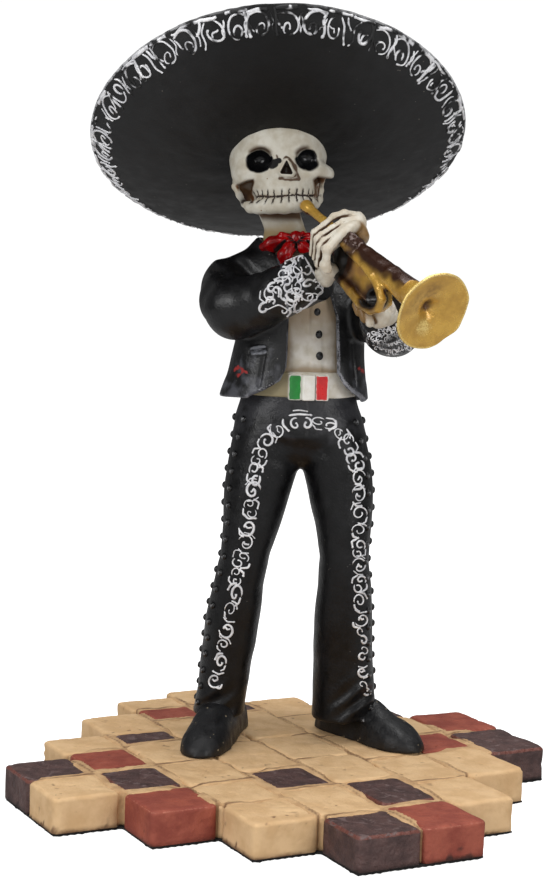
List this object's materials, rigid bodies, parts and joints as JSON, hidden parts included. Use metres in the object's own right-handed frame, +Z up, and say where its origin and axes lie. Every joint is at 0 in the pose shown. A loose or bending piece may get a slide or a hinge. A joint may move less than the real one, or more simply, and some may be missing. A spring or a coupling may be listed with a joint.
{
  "type": "skeleton musician figurine",
  "caption": "Painted resin figurine of a standing skeleton musician in a wide sombrero and short jacket, playing a trumpet on a low paved base.",
  "frame": {"origin": "middle of the base's outline, on the surface that the pad rests on", "axes": "+Z up through the figure, +X to the viewer's right, the figure faces -Y"},
  "size_m": [0.1436, 0.1456, 0.2035],
  "materials": {
    "felt": "matt black pad",
    "painted_brick": "cast resin painted as worn paving, dry brushed",
    "painted_figure": "cast resin painted black and ivory with a satin seal",
    "gold_paint": "metallic gold paint with a dark wash",
    "black_paint": "satin black paint with worn silver scrollwork"
  },
  "bodies": {
    "root": {"felt_pad": "felt", "brick_base": "painted_brick", "skeleton_figure": "painted_figure", "trumpet": "gold_paint", "sombrero": "black_paint"}
  },
  "joints": []
}
